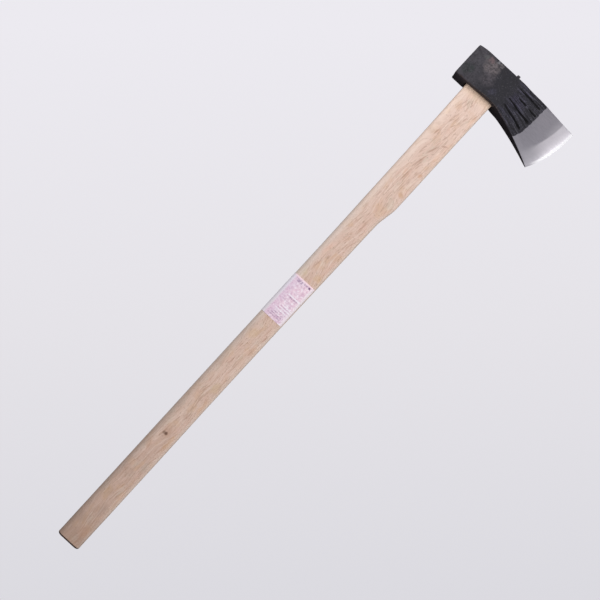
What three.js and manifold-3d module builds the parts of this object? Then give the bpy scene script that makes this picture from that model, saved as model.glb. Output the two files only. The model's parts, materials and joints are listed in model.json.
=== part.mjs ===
// A splitting axe with a long straight handle, lying on its side on a flat surface.
//
// Its pieces are the forged body of the head, the hard cutting steel welded into that body,
// the oak handle whose tenon fills the eye, a wooden wedge in the tenon's kerf, two steel wedges
// and a paper label round the grip.
//
// The pieces are drawn in the axe's own axes, in millimetres:
//   +X runs from the poll to the cutting edge, with 0 in the middle of the handle's width,
//   +Y runs up the handle from the butt, at 0, to the head,
//   +Z runs out of the cheek that faces up, with 0 in the middle of the thickness.
// The whole axe is then laid down: it rests on its lower cheek and on its butt.

import * as THREE from "three";
import { mergeVertices } from "three/addons/utils/BufferGeometryUtils.js";
import Module from "manifold-3d";

const wasm = await Module();
wasm.setup();

// ---------------------------------------------------------------- driving dimensions, mm

const GAP = 0.3; // clearance between two pieces that fit together
const ROUND_STEPS = 3; // facets across the rounded rim of the poll and of the butt
const CORNER_STEPS = 4; // facets round a corner of the handle and of the eye

// Head
const POLL_X = -48.1; // the striking face at the back of the head
const HEEL_X = 113.8; // lower end of the cutting edge
const TOE_X = 133.3; // upper end of the cutting edge
const EDGE_BULGE = 4.9; // how far the cutting edge bows out from its chord
const UNDERSIDE_Y = 846.4; // lower face of the head, where the beard starts to fall
const UNDERSIDE_POLL_DROP = 2.2; // how much lower that face is behind the handle
const UNDERSIDE_POLL_X = [-35, 12]; // where it starts and stops rising towards the beard
const BEARD_START_X = 14; // where the lower face starts to fall towards the heel
const BEARD_DROP = 30; // how far the heel is below the lower face
const BEARD_POWER = 1.48; // how late the fall comes
const CROWN_Y = 896.9; // upper face of the head
const CROWN_TOE_X = [62, 125]; // between these the upper face falls gently towards the toe
const CROWN_TOE_DROP = 2.2;
const CROWN_POLL_START_X = -28; // and from here it falls to the poll
const CROWN_POLL_DROP = 1.9;
const CHEEK_HALF = 25.5; // half the thickness over the eye
const CHEEK_PROFILE = [
  // [x at mid-height, half thickness]: parallel over the eye, then a full wedge down to the edge
  [POLL_X, 24.3],
  [-30, CHEEK_HALF],
  [31, CHEEK_HALF],
  [46, 20.8],
  [70, 16.4],
  [90, 11.9],
  [110, 6.9],
  [120, 4.2],
  [125.4, 2.2],
  [(HEEL_X + TOE_X) / 2 + EDGE_BULGE, 0.15],
];
const POLL_ROUND = 1.6; // rounding of the striking face's rim
const CROWN_ARRIS = 1.4; // corner radius between cheek and upper face
const POLL_ARRIS = 3.2; // corner radius between cheek and lower face, at the poll
const BEARD_ARRIS = 1.2; // the same, at the blade
const ARRIS_X = [-40, 15]; // where that radius starts and stops shrinking
const ARRIS_SHARE = 0.8; // an arris takes no more than this share of half the thickness
const HEAD_STEP = 9; // longest stretch of cheek between two sections
const HEAD_DIVISIONS = 5; // stretches of cheek from the lower to the upper face

// Chiselled lines on the cheeks: where each starts and ends, [x, y], shallow to deep
const LINE_HALF_WIDTH = 1.6;
const LINE_DEPTH = 1.2;
const LINE_SHALLOW = 0.4; // depth at its start, as a share of its full depth
const LINE_STEPS = 6;
const UPPER_CHEEK_LINES = [
  { from: [36, 887.6], to: [73.6, 886.3] },
  { from: [38, 877], to: [74.1, 875.8] },
  { from: [32, 867.4], to: [74.5, 861.8] },
  { from: [31.9, 857.5], to: [71.7, 848.3] },
];
const LOWER_CHEEK_LINES = [
  { from: [31, 884], to: [73, 882.4] },
  { from: [31, 873.2], to: [73, 868.2] },
  { from: [32, 861.9], to: [72, 854.4] },
];

// Cutting steel: a band along the edge, with a tongue that runs back into the body
const STEEL_START = 0.88; // where the band starts, as a fraction of the way from poll to edge
const STEEL_OVERLAP = 0.02; // how far the tongue reaches into the band, as such a fraction
const TONGUE_START = 0.74; // where the tongue starts
const TONGUE_HALF = [1.2, 3]; // half thickness of the tongue at its tip and at its root
const STEEL_END = 1.1; // its cutter runs out past the edge, and past the lower and upper faces
const STEEL_HEIGHTS = [-0.2, 0, 0.2, 0.4, 0.6, 0.8, 1, 1.2];

// Eye: a tapered hole, [x back, x front, z half] at the lower and at the upper face
const EYE_LOWER = [-25.9, 21.9, 13.8];
const EYE_UPPER = [-26.3, 24.2, 14.6];
const EYE_CORNER = 3.6;
const EYE_BEYOND = 10; // how far its cutter runs out of both faces

// Handle: [y, x of the back, x of the front, half thickness, corner radius]
const HANDLE_PROFILE = [
  [0, -21.1, 16.2, 13.8, 7.5],
  [147, -21.6, 15.9, 13.8, 7.5],
  [297, -22.1, 15.1, 13.8, 7.5],
  [417, -22.4, 15.2, 13.8, 7.5],
  [537, -22.5, 15.9, 13.7, 7.5],
  [615, -23, 16.4, 13.6, 7],
  [633, -23.2, 18.8, 13.5, 6],
  [651, -23.3, 21.5, 13.4, 5.2],
  [747, -24.1, 21.4, 13.3, 4.6],
  [825, -25.2, 21.4, 13.3, 4],
  [UNDERSIDE_Y, -25.5, 21.4, 13.3, 3.4],
];
const BUTT_ROUND = 3.2; // rounding of the butt's rim
const TENON_TOP_Y = 898.3; // the tenon stands a little proud of the head

// Wedges
const KERF_BOTTOM_Y = 855.4; // foot of the sawn kerf in the tenon
const KERF_HALF = [0.9, 3]; // half width of the opened kerf at its foot and at the tenon's top
const KERF_X = [-60, 60]; // the kerf runs right through the tenon
const FRONT_WEDGE = { top: 903.2, tip: 863.4, half: 11, thickTop: 4.4, thickTip: 0.9 };
const CROSS_WEDGE = { top: 899.2, tip: 869.4, half: 11.5, thickTop: 4.2, thickTip: 0.9, x: -8 };

// Paper label round the grip
const LABEL_Y = [420.9, 490.8];
const LABEL_NEAR_DEG = 38; // its edge on the face that is up: how far round the front corner
const LABEL_FAR_X = 3; // its other edge, on the face that is down
const LABEL_THICKNESS = 0.3;

// ---------------------------------------------------------------- shapes

// The smooth curve through [x, value] points, which never overshoots them.
function curveThrough(points) {
  const last = points.length - 1;
  const secant = (i) => (points[i + 1][1] - points[i][1]) / (points[i + 1][0] - points[i][0]);
  const slopes = points.map((point, i) => {
    const before = secant(Math.max(i - 1, 0));
    const after = secant(Math.min(i, last - 1));
    return before * after > 0 ? (2 * before * after) / (before + after) : 0;
  });
  return (x) => {
    const clamped = Math.min(Math.max(x, points[0][0]), points[last][0]);
    const i = Math.min(points.findLastIndex((point) => point[0] <= clamped), last - 1);
    const width = points[i + 1][0] - points[i][0];
    const t = (clamped - points[i][0]) / width;
    const start = (1 + 2 * t) * (1 - t) ** 2 * points[i][1] + t * (1 - t) ** 2 * width * slopes[i];
    const end = t * t * (3 - 2 * t) * points[i + 1][1] + t * t * (t - 1) * width * slopes[i + 1];
    return start + end;
  };
}

// Points round a rectangle with rounded corners, anticlockwise from the corner (a1, b1).
// The two sides along a are divided too, so that a loft can bend them.
function roundedRectangle({ a0, a1, b0, b1, radii, steps = 3, divisions = 1 }) {
  const corners = [[a1, b1, 1, 1], [a0, b1, -1, 1], [a0, b0, -1, -1], [a1, b0, 1, -1]];
  const points = [];
  corners.forEach(([a, b, signA, signB], quarter) => {
    const radius = radii[quarter];
    for (let i = 0; i <= steps; i++) {
      const angle = ((quarter + i / steps) * Math.PI) / 2;
      const centre = [a - signA * radius, b - signB * radius];
      points.push([centre[0] + radius * Math.cos(angle), centre[1] + radius * Math.sin(angle)]);
    }
    if (quarter % 2 === 0) {
      const start = points.at(-1);
      const next = corners[quarter + 1];
      const end = next[0] - next[2] * radii[quarter + 1];
      for (let i = 1; i < divisions; i++) {
        points.push([THREE.MathUtils.lerp(start[0], end, i / divisions), b]);
      }
    }
  });
  return points;
}

// A closed body through a row of rings, which are arrays of as many Vector3 each.
// Both ends are closed by a fan, so they have to be convex.
function loft(rings) {
  const count = rings[0].length;
  const points = rings.flat();
  const index = [];
  for (let r = 0; r < rings.length - 1; r++) {
    for (let i = 0; i < count; i++) {
      const a = r * count + i;
      const b = r * count + ((i + 1) % count);
      index.push(a, b, b + count, a, b + count, a + count);
    }
  }
  for (const [ring, start] of [[rings[0], 0], [rings.at(-1), (rings.length - 1) * count]]) {
    const centre = ring.reduce((sum, p) => sum.add(p), new THREE.Vector3()).divideScalar(count);
    const hub = points.push(centre) - 1;
    for (let i = 0; i < count; i++) {
      const a = start + i;
      const b = start + ((i + 1) % count);
      index.push(...(start === 0 ? [hub, b, a] : [hub, a, b]));
    }
  }
  if (signedVolume(points, index) < 0) index.reverse();
  const geometry = new THREE.BufferGeometry().setFromPoints(points);
  geometry.setIndex(index);
  return geometry;
}

function signedVolume(points, index) {
  let volume = 0;
  for (let i = 0; i < index.length; i += 3) {
    const [a, b, c] = [points[index[i]], points[index[i + 1]], points[index[i + 2]]];
    volume += a.dot(new THREE.Vector3().crossVectors(b, c)) / 6;
  }
  return volume;
}

// ---------------------------------------------------------------- joining and cutting

function solidOf(geometry) {
  const bare = geometry.clone();
  bare.deleteAttribute("normal");
  bare.deleteAttribute("uv");
  const merged = mergeVertices(bare, 1e-4);
  return new wasm.Manifold(new wasm.Mesh({
    numProp: 3,
    vertProperties: Float32Array.from(merged.attributes.position.array),
    triVerts: Uint32Array.from(merged.index.array),
  }));
}

function geometryOf(solid) {
  const mesh = solid.getMesh();
  const geometry = new THREE.BufferGeometry();
  geometry.setAttribute("position", new THREE.BufferAttribute(mesh.vertProperties, 3));
  geometry.setIndex(new THREE.BufferAttribute(mesh.triVerts, 1));
  return geometry;
}

// ---------------------------------------------------------------- head

const cheekHalfAt = curveThrough(CHEEK_PROFILE);

function undersideAt(x) {
  const toPoll = 1 - THREE.MathUtils.smoothstep(x, ...UNDERSIDE_POLL_X);
  const toHeel = Math.max(x - BEARD_START_X, 0) / (HEEL_X - BEARD_START_X);
  return UNDERSIDE_Y - UNDERSIDE_POLL_DROP * toPoll - BEARD_DROP * toHeel ** BEARD_POWER;
}

function crownAt(x) {
  const toToe = THREE.MathUtils.smoothstep(x, ...CROWN_TOE_X);
  const toPoll = Math.max(CROWN_POLL_START_X - x, 0) / (CROWN_POLL_START_X - POLL_X);
  return CROWN_Y - CROWN_TOE_DROP * toToe - CROWN_POLL_DROP * toPoll ** 2;
}

// Length from the poll to the edge, at a height from 0 at the lower face to 1 at the upper face.
function lengthAt(height) {
  const bulge = 4 * EDGE_BULGE * height * (1 - height);
  return THREE.MathUtils.lerp(HEEL_X, TOE_X, height) + bulge - POLL_X;
}

// The place in the head that is a fraction of the way from poll to edge, at a height.
function headPoint(along, height, z) {
  const x = POLL_X + along * lengthAt(height);
  const y = THREE.MathUtils.lerp(undersideAt(x), crownAt(x), height);
  return new THREE.Vector3(x, y, z);
}

// Half the head's thickness at a place on its cheek.
function cheekHalfOver(x, y) {
  const height = (y - undersideAt(x)) / (crownAt(x) - undersideAt(x));
  const along = (x - POLL_X) / lengthAt(height);
  return cheekHalfAt(POLL_X + along * lengthAt(0.5));
}

// A ring round the head, inset from its outline.
function headRing(along, inset) {
  const x = POLL_X + along * lengthAt(0.5);
  const tall = headPoint(along, 1, 0).distanceTo(headPoint(along, 0, 0));
  const half = cheekHalfAt(x) - inset;
  const toBlade = THREE.MathUtils.smoothstep(x, ...ARRIS_X);
  const lowerArris = Math.min(THREE.MathUtils.lerp(POLL_ARRIS, BEARD_ARRIS, toBlade), half * ARRIS_SHARE);
  const upperArris = Math.min(CROWN_ARRIS, half * ARRIS_SHARE);
  const outline = roundedRectangle({
    a0: inset,
    a1: tall - inset,
    b0: -half,
    b1: half,
    radii: [upperArris, lowerArris, lowerArris, upperArris],
    divisions: HEAD_DIVISIONS,
  });
  return outline.map(([a, b]) => headPoint(along, a / tall, b));
}

// The head before its eye is cut and its steel is let in.
function headBlank() {
  const length = lengthAt(0.5);
  const rings = [];
  for (let i = 0; i < ROUND_STEPS; i++) {
    const angle = (i / ROUND_STEPS) * (Math.PI / 2);
    const along = (POLL_ROUND * (1 - Math.cos(angle))) / length;
    rings.push(headRing(along, POLL_ROUND * (1 - Math.sin(angle))));
  }
  const knots = [POLL_X + POLL_ROUND, ...CHEEK_PROFILE.slice(1).map((point) => point[0])];
  for (let k = 0; k < knots.length - 1; k++) {
    const divisions = Math.ceil((knots[k + 1] - knots[k]) / HEAD_STEP);
    for (let i = 0; i < divisions; i++) {
      const x = THREE.MathUtils.lerp(knots[k], knots[k + 1], i / divisions);
      rings.push(headRing((x - POLL_X) / length, 0));
    }
  }
  rings.push(headRing(1, 0));
  return loft(rings);
}

// The cutter of one chiselled line: a V that follows the cheek and deepens along it.
// side is 1 on the cheek that faces up and -1 on the other.
function lineCutter({ from, to }, side) {
  const rings = [];
  for (let i = 0; i <= LINE_STEPS; i++) {
    const t = i / LINE_STEPS;
    const x = THREE.MathUtils.lerp(from[0], to[0], t);
    const y = THREE.MathUtils.lerp(from[1], to[1], t);
    const surface = cheekHalfOver(x, y);
    const depth = LINE_DEPTH * THREE.MathUtils.lerp(LINE_SHALLOW, 1, t);
    const ring = [[-LINE_HALF_WIDTH, LINE_DEPTH], [LINE_HALF_WIDTH, LINE_DEPTH], [0, -depth]];
    rings.push(ring.map(([across, out]) => new THREE.Vector3(x, y + across, side * (surface + out))));
  }
  return solidOf(loft(rings));
}

// The space of the cutting steel, grown by a clearance: a band at the edge with a tongue behind.
function steelSpace(clearance) {
  const shift = clearance / lengthAt(0.5);
  const band = [[STEEL_START - shift, CHEEK_HALF], [STEEL_END, CHEEK_HALF]];
  const tongue = [
    [TONGUE_START - shift, TONGUE_HALF[0] + clearance],
    [STEEL_START - shift, TONGUE_HALF[1] + clearance],
    [STEEL_START + STEEL_OVERLAP, TONGUE_HALF[1]],
  ];
  const bodies = [band, tongue].map((half) => {
    const mirrored = half.map(([along, z]) => [along, -z]).reverse();
    const ring = (height) => [...half, ...mirrored].map(([along, z]) => headPoint(along, height, z));
    return solidOf(loft(STEEL_HEIGHTS.map(ring)));
  });
  return bodies[0].add(bodies[1]);
}

// The tapered eye, or a body that fills it with a clearance, from one height to another.
function eyeFill({ clearance, y0, y1 }) {
  const ring = (y) => {
    const t = (y - UNDERSIDE_Y) / (CROWN_Y - UNDERSIDE_Y);
    const [back, front, half] = EYE_LOWER.map((lower, i) => THREE.MathUtils.lerp(lower, EYE_UPPER[i], t));
    const radius = EYE_CORNER - clearance;
    const outline = roundedRectangle({
      a0: back + clearance,
      a1: front - clearance,
      b0: clearance - half,
      b1: half - clearance,
      radii: [radius, radius, radius, radius],
      steps: CORNER_STEPS,
    });
    return outline.map(([x, z]) => new THREE.Vector3(x, y, z));
  };
  return solidOf(loft([ring(y0), ring(y1)]));
}

// ---------------------------------------------------------------- wedges and tenon

// A box that tapers from its top to its tip; each end is [x0, x1, z half].
function taper(yTip, tip, yTop, top) {
  const ring = (y, [x0, x1, half]) => [
    new THREE.Vector3(x0, y, half),
    new THREE.Vector3(x1, y, half),
    new THREE.Vector3(x1, y, -half),
    new THREE.Vector3(x0, y, -half),
  ];
  return solidOf(loft([ring(yTip, tip), ring(yTop, top)]));
}

// x of the eye's front wall at a height up the handle.
function eyeFrontAt(y) {
  return THREE.MathUtils.mapLinear(y, UNDERSIDE_Y, CROWN_Y, EYE_LOWER[1], EYE_UPPER[1]);
}

// The front wedge, against the eye's front wall, or the room that it takes with a clearance.
function frontWedge(clearance) {
  const { top, tip, half, thickTop, thickTip } = FRONT_WEDGE;
  const end = (y, thick) => {
    const front = eyeFrontAt(y) - GAP;
    return [front - thick - clearance, front + clearance, half + clearance];
  };
  return taper(tip - clearance, end(tip, thickTip), top + clearance, end(top, thickTop));
}

// The cross wedge, through the wooden wedge and the tenon, or its room with a clearance.
function crossWedge(clearance) {
  const { top, tip, half, thickTop, thickTip, x } = CROSS_WEDGE;
  const end = (thick) => [x - thick / 2 - clearance, x + thick / 2 + clearance, half + clearance];
  return taper(tip - clearance, end(thickTip), top + clearance, end(thickTop));
}

// The kerf's space, or the wooden wedge that fills it with a clearance.
function kerfSpace(clearance) {
  const end = (half) => [...KERF_X, half - clearance];
  return taper(KERF_BOTTOM_Y + clearance, end(KERF_HALF[0]), TENON_TOP_Y, end(KERF_HALF[1]));
}

// ---------------------------------------------------------------- handle

const handleCurves = [1, 2, 3, 4].map((column) => {
  return curveThrough(HANDLE_PROFILE.map((row) => [row[0], row[column]]));
});

function handleRing(y, inset) {
  const [back, front, half, corner] = handleCurves.map((curve) => curve(y));
  const radius = corner - inset;
  const outline = roundedRectangle({
    a0: back + inset,
    a1: front - inset,
    b0: inset - half,
    b1: half - inset,
    radii: [radius, radius, radius, radius],
    steps: CORNER_STEPS,
  });
  return outline.map(([x, z]) => new THREE.Vector3(x, y, z));
}

// The handle up to the head's lower face, with its rounded butt.
function handleShaft() {
  const rings = [];
  for (let i = 0; i < ROUND_STEPS; i++) {
    const angle = (i / ROUND_STEPS) * (Math.PI / 2);
    rings.push(handleRing(BUTT_ROUND * (1 - Math.cos(angle)), BUTT_ROUND * (1 - Math.sin(angle))));
  }
  rings.push(handleRing(BUTT_ROUND, 0));
  for (let k = 1; k < HANDLE_PROFILE.length; k++) {
    const [start, end] = [HANDLE_PROFILE[k - 1][0], HANDLE_PROFILE[k][0]];
    if (k > 1) rings.push(handleRing(start, 0));
    rings.push(handleRing((start + end) / 2, 0));
  }
  rings.push(handleRing(UNDERSIDE_Y - GAP, 0));
  return solidOf(loft(rings));
}

function handleSolid() {
  const tenon = eyeFill({ clearance: GAP, y0: UNDERSIDE_Y - 2 * GAP, y1: TENON_TOP_Y });
  return handleShaft()
    .add(tenon)
    .subtract(kerfSpace(0))
    .subtract(frontWedge(GAP))
    .subtract(crossWedge(GAP));
}

// ---------------------------------------------------------------- label

// The label's section is a strip that starts on the front corner of the near face, crosses that
// face, and goes round the back and a little way over the far face.
function labelGeometry() {
  const middle = (LABEL_Y[0] + LABEL_Y[1]) / 2;
  const [back, front, half, corner] = handleCurves.map((curve) => curve(middle));
  const inner = corner + GAP;
  const outer = inner + LABEL_THICKNESS;
  const frontX = front - corner;
  const backX = back + corner;
  const cornerZ = half - corner;
  const start = (LABEL_NEAR_DEG * Math.PI) / 180;
  const up = Math.PI / 2;
  const section = new THREE.Shape();
  section.absarc(frontX, cornerZ, outer, start, up, false);
  section.absarc(backX, cornerZ, outer, up, 2 * up, false);
  section.absarc(backX, -cornerZ, outer, 2 * up, 3 * up, false);
  section.lineTo(LABEL_FAR_X, -cornerZ - outer);
  section.lineTo(LABEL_FAR_X, -cornerZ - inner);
  section.absarc(backX, -cornerZ, inner, 3 * up, 2 * up, true);
  section.absarc(backX, cornerZ, inner, 2 * up, up, true);
  section.absarc(frontX, cornerZ, inner, up, start, true);
  const depth = LABEL_Y[1] - LABEL_Y[0];
  const geometry = new THREE.ExtrudeGeometry(section, { depth, bevelEnabled: false, curveSegments: 6 });
  geometry.rotateX(Math.PI / 2);
  geometry.translate(0, LABEL_Y[1], 0);
  return geometry;
}

// ---------------------------------------------------------------- assembly

const axe = new THREE.Group();

function addPiece(name, geometry, color, roughness, metalness) {
  geometry.computeVertexNormals();
  const mesh = new THREE.Mesh(geometry, new THREE.MeshStandardMaterial({ color, roughness, metalness }));
  mesh.name = name;
  axe.add(mesh);
}

const blank = solidOf(headBlank());
let body = blank.subtract(steelSpace(GAP));
body = body.subtract(eyeFill({ clearance: 0, y0: UNDERSIDE_Y - EYE_BEYOND, y1: CROWN_Y + EYE_BEYOND }));
for (const line of UPPER_CHEEK_LINES) body = body.subtract(lineCutter(line, 1));
for (const line of LOWER_CHEEK_LINES) body = body.subtract(lineCutter(line, -1));

const woodenWedge = kerfSpace(GAP)
  .intersect(eyeFill({ clearance: GAP, y0: KERF_BOTTOM_Y - GAP, y1: TENON_TOP_Y }))
  .subtract(frontWedge(GAP))
  .subtract(crossWedge(GAP));

addPiece("head_body", geometryOf(body), 0x3a3a3e, 0.55, 0.8);
addPiece("cutting_steel", geometryOf(blank.intersect(steelSpace(0))), 0xc4c2c8, 0.3, 1);
addPiece("handle", geometryOf(handleSolid()), 0xd0ad96, 0.6, 0);
addPiece("wooden_wedge", geometryOf(woodenWedge), 0xb88a60, 0.7, 0);
addPiece("steel_wedge_front", geometryOf(frontWedge(0)), 0x3c3c40, 0.5, 0.9);
addPiece("steel_wedge_cross", geometryOf(crossWedge(0)), 0x4a4a4e, 0.5, 0.9);
addPiece("paper_label", labelGeometry(), 0xdfcbdb, 0.7, 0);

// Laid down: the butt and the front end of the flat cheek's lower arris touch the same surface.
const gripHalf = HANDLE_PROFILE[0][3];
const flatEnd = (CHEEK_PROFILE[2][0] - POLL_X) / lengthAt(0.5);
const cheekFoot = headPoint(flatEnd, 0, 0).y + BEARD_ARRIS;
axe.rotation.x = Math.atan((CHEEK_HALF - gripHalf) / (cheekFoot - BUTT_ROUND));

const laid = new THREE.Group();
laid.add(axe);
laid.updateMatrixWorld(true);
const box = new THREE.Box3().setFromObject(laid, true);
const foot = box.getCenter(new THREE.Vector3()).setZ(box.min.z);
laid.position.copy(foot.negate());

export default laid;
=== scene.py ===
"""The looks of a splitting axe that lies on its side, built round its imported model.

Shapes are worked out in the axe's own axes, in millimetres:
  +X runs from the poll to the cutting edge, with 0 in the middle of the handle's width,
  +Y runs up the handle from the butt, at 0, to the head,
  +Z runs out of the cheek that faces up, with 0 in the middle of the thickness.
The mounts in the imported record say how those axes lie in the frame.
"""

import json
import math

import bmesh
import bpy
import numpy as np
from mathutils import Matrix, Vector
from mathutils import noise as perlin


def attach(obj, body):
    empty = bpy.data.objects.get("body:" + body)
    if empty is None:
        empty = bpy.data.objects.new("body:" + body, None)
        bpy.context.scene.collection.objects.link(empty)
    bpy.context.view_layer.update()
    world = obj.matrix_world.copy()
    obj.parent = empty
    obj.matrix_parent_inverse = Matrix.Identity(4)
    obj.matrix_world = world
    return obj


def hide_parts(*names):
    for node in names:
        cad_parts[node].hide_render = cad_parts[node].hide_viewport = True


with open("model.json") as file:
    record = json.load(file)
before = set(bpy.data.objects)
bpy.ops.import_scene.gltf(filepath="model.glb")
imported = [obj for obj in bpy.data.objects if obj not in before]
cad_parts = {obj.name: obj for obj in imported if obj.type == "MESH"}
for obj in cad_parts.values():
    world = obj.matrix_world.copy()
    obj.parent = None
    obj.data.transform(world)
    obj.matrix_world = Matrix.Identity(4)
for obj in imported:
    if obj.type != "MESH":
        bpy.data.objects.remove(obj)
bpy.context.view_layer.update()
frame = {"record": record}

# ------------ sizes, mm

# Head
POLL_X = -48.1
HEEL_X = 113.8
TOE_X = 133.25
EDGE_BULGE = 4.86
UNDERSIDE_Y = 846.4
UNDERSIDE_POLL_DROP = 2.2
UNDERSIDE_POLL_X = (-35, 12)
BEARD_START_X = 14
BEARD_DROP = 30
BEARD_POWER = 1.48
CROWN_Y = 896.9
CROWN_TOE_X = (62, 125)
CROWN_TOE_DROP = 2.2
CROWN_POLL_START_X = -28
CROWN_POLL_DROP = 1.9
CHEEK_HALF = 25.46
CHEEK_PROFILE = [
    # [x at mid-height, half thickness]
    [POLL_X, 24.3],
    [-30, CHEEK_HALF],
    [31, CHEEK_HALF],
    [46, 20.8],
    [70, 16.4],
    [90, 11.9],
    [110, 6.9],
    [120, 4.1],
    [125.4, 2.05],
    [(HEEL_X + TOE_X) / 2 + EDGE_BULGE, 0.04],
]
CROWN_ARRIS = 1.2
GROUND_ARRIS = 0.3
POLL_ARRIS = 2.8
BEARD_ARRIS = 0.9
ARRIS_X = (-40, 15)  # over which the lower arris changes from the poll's to the beard's
GROUND_X = (66, 84)  # over which the upper arris changes to the ground one's
POLL_ROUND = 1.5
POLL_CROWN = 0.5  # how far the struck face is domed
POLL_INNER = 21  # the inset at which the struck face is closed
HEAD_STEPS = (5, 150, 44)  # points on a corner, over the height and over the thickness
HEAD_RINGS = (12, 7, 158, 9)  # over the struck face, its rounded arris, the cheeks and the edge
EDGE_START = 0.985  # where the edge's closer rings start, as a fraction of the way to it
FORGED_BUMPS = [(0.2, 21, 3.1), (0.1, 8.5, 7.7), (0.05, 2.6, 1.3)]  # depth, width, seed
GROUND_BUMPS = [(0.05, 26, 5.2)]

# Chiselled lines: [x, y] of both ends, and how deep each is cut
LINE_HALF_WIDTH = 1.65
UPPER_LINES = [
    ([33, 887.6], [75, 886.6], 0.9),
    ([41, 877.2], [57, 876.6], 0.9),  # the second line is broken in its middle
    ([60, 876.0], [77, 875.0], 0.9),
    ([30, 867.7], [75.5, 861.4], 1.3),
    ([31, 857.7], [72.5, 848.1], 1.3),
]
LOWER_LINES = [
    ([31, 884], [73, 882.4], 1.0),
    ([31, 873.2], [73, 868.2], 1.1),
    ([32, 861.9], [72, 854.4], 1.1),
]

# Cutting steel, as fractions of the way from poll to edge
STEEL_START = 0.88
TONGUE_START = 0.74
TONGUE_HALF = [1.2, 3]
STEEL_CLEARANCE = 0.02

# Eye: [x back, x front, z half] at the lower and at the upper face
EYE_LOWER = [-25.9, 21.9, 13.8]
EYE_UPPER = [-26.3, 24.2, 14.6]
EYE_CORNER = 3.5
EYE_FLARE = 0.9  # how far its rims were filed away
CUTTER_REACH = 12

# Handle: [y, x of the back, x of the front, half thickness, corner radius]
HANDLE_PROFILE = [
    [0, -21.1, 16.2, 13.8, 7.5],
    [147, -21.6, 15.9, 13.8, 7.5],
    [297, -22.1, 15.1, 13.8, 7.5],
    [417, -22.4, 15.2, 13.8, 7.5],
    [537, -22.5, 15.9, 13.7, 7.5],
    [615, -23, 16.4, 13.6, 7],
    [633, -23.2, 18.8, 13.5, 6],
    [651, -23.3, 21.5, 13.4, 5.2],
    [747, -24.1, 21.4, 13.3, 4.6],
    [825, -25.2, 21.4, 13.3, 4],
    [UNDERSIDE_Y, -25.5, 21.4, 13.3, 3.4],
]
BUTT_ROUND = 3.0
BUTT_DOME = 0.25
TENON_TOP_Y = 898.2
TENON_GAP = 0.12
HANDLE_STEPS = (8, 26, 12)
HANDLE_RINGS = (8, 430, 20)  # over the butt's arris, the shaft and the tenon

# Wedges
KERF_BOTTOM_Y = 855.6
KERF_HALF = [0.9, 3]  # at its bottom and at the tenon's top
FRONT_WEDGE = [863.4, 903.1, 11]  # y of its tip and top, half its width
CROSS_WEDGE = [869.4, 899.1, 11.5]
CROSS_WEDGE_X = -8
WEDGE_THICK = [0.9, 4.2]  # at the tip and at the top
WEDGE_OFF_WALL = 0.15
WEDGE_STEPS = (4, 8, 24)
WOODEN_WEDGE_STEPS = (3, 40, 6)
MUSHROOM = [
    # how far below the top, and how far the hammer spread it there
    (3.4, 0), (2.6, 0.05), (2.0, 0.25), (1.4, 0.35), (0.9, 0.3), (0.4, 0), (0.1, -0.4), (0, -0.8),
]

# Label
LABEL_Y = [420.9, 490.8]
LABEL_NEAR_DEG = 38  # where it starts on the corner, from +X towards +Z
LABEL_FAR_X = 3  # where it ends on the far face
LABEL_LIFT = 0.04
LABEL_THICKNESS = 0.16
LABEL_WRINKLE = 0.035

# ------------ the axe's axes in the frame

MM = 0.001
WELD = 0.002 * MM  # points nearer than this are joined
SHARP_ANGLE = math.radians(38)
mounts = {mount["name"]: mount for mount in frame["record"]["mounts"]}
axis_x = -np.array(mounts["poll_face"]["axis"], float)
axis_y = -np.array(mounts["butt_end"]["axis"], float)
AXES = np.array([axis_x, axis_y, np.cross(axis_x, axis_y)])
BUTT = np.array(mounts["butt_end"]["pos_m"], float)


def to_frame(points):
    """Points in the axe's millimetres, as points of the frame in metres."""
    return BUTT + MM * (np.asarray(points, float) @ AXES)


def to_axe(points):
    """Points of the frame in metres, as points in the axe's millimetres."""
    return ((np.asarray(points, float) - BUTT) @ AXES.T) / MM


# ------------ curves and noise


def curve_through(points):
    """The smooth curve through [x, value] points, which never overshoots them."""
    xs, values = np.array(points, float).T
    secants = np.diff(values) / np.diff(xs)
    before = np.concatenate([secants[:1], secants])
    after = np.concatenate([secants, secants[-1:]])
    steady = before * after > 0
    slopes = np.where(steady, 2 * before * after / np.where(steady, before + after, 1), 0)

    def value(x):
        x = np.clip(x, xs[0], xs[-1])
        i = np.clip(np.searchsorted(xs, x, side="right") - 1, 0, len(xs) - 2)
        width = xs[i + 1] - xs[i]
        t = (x - xs[i]) / width
        start = (1 + 2 * t) * (1 - t) ** 2 * values[i] + t * (1 - t) ** 2 * width * slopes[i]
        end = t * t * (3 - 2 * t) * values[i + 1] + t * t * (t - 1) * width * slopes[i + 1]
        return start + end

    return value


def lerp(a, b, t):
    return a + (b - a) * t


def smoothstep(x, low, high):
    t = np.clip((x - low) / (high - low), 0, 1)
    return t * t * (3 - 2 * t)


def noise_at(points, size, seed=0.0):
    """Smooth noise between about -1 and 1 at each point; size is the width of its bumps."""
    scaled = np.asarray(points, float) / size + seed
    return np.array([perlin.noise(Vector(p)) for p in scaled.reshape(-1, 3)]).reshape(scaled.shape[:-1])


def bumps_at(points, layers):
    """Noise in layers, each (depth, width of its bumps, seed)."""
    return sum(depth * noise_at(points, size, seed) for depth, size, seed in layers)


# ------------ mesh code


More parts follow.
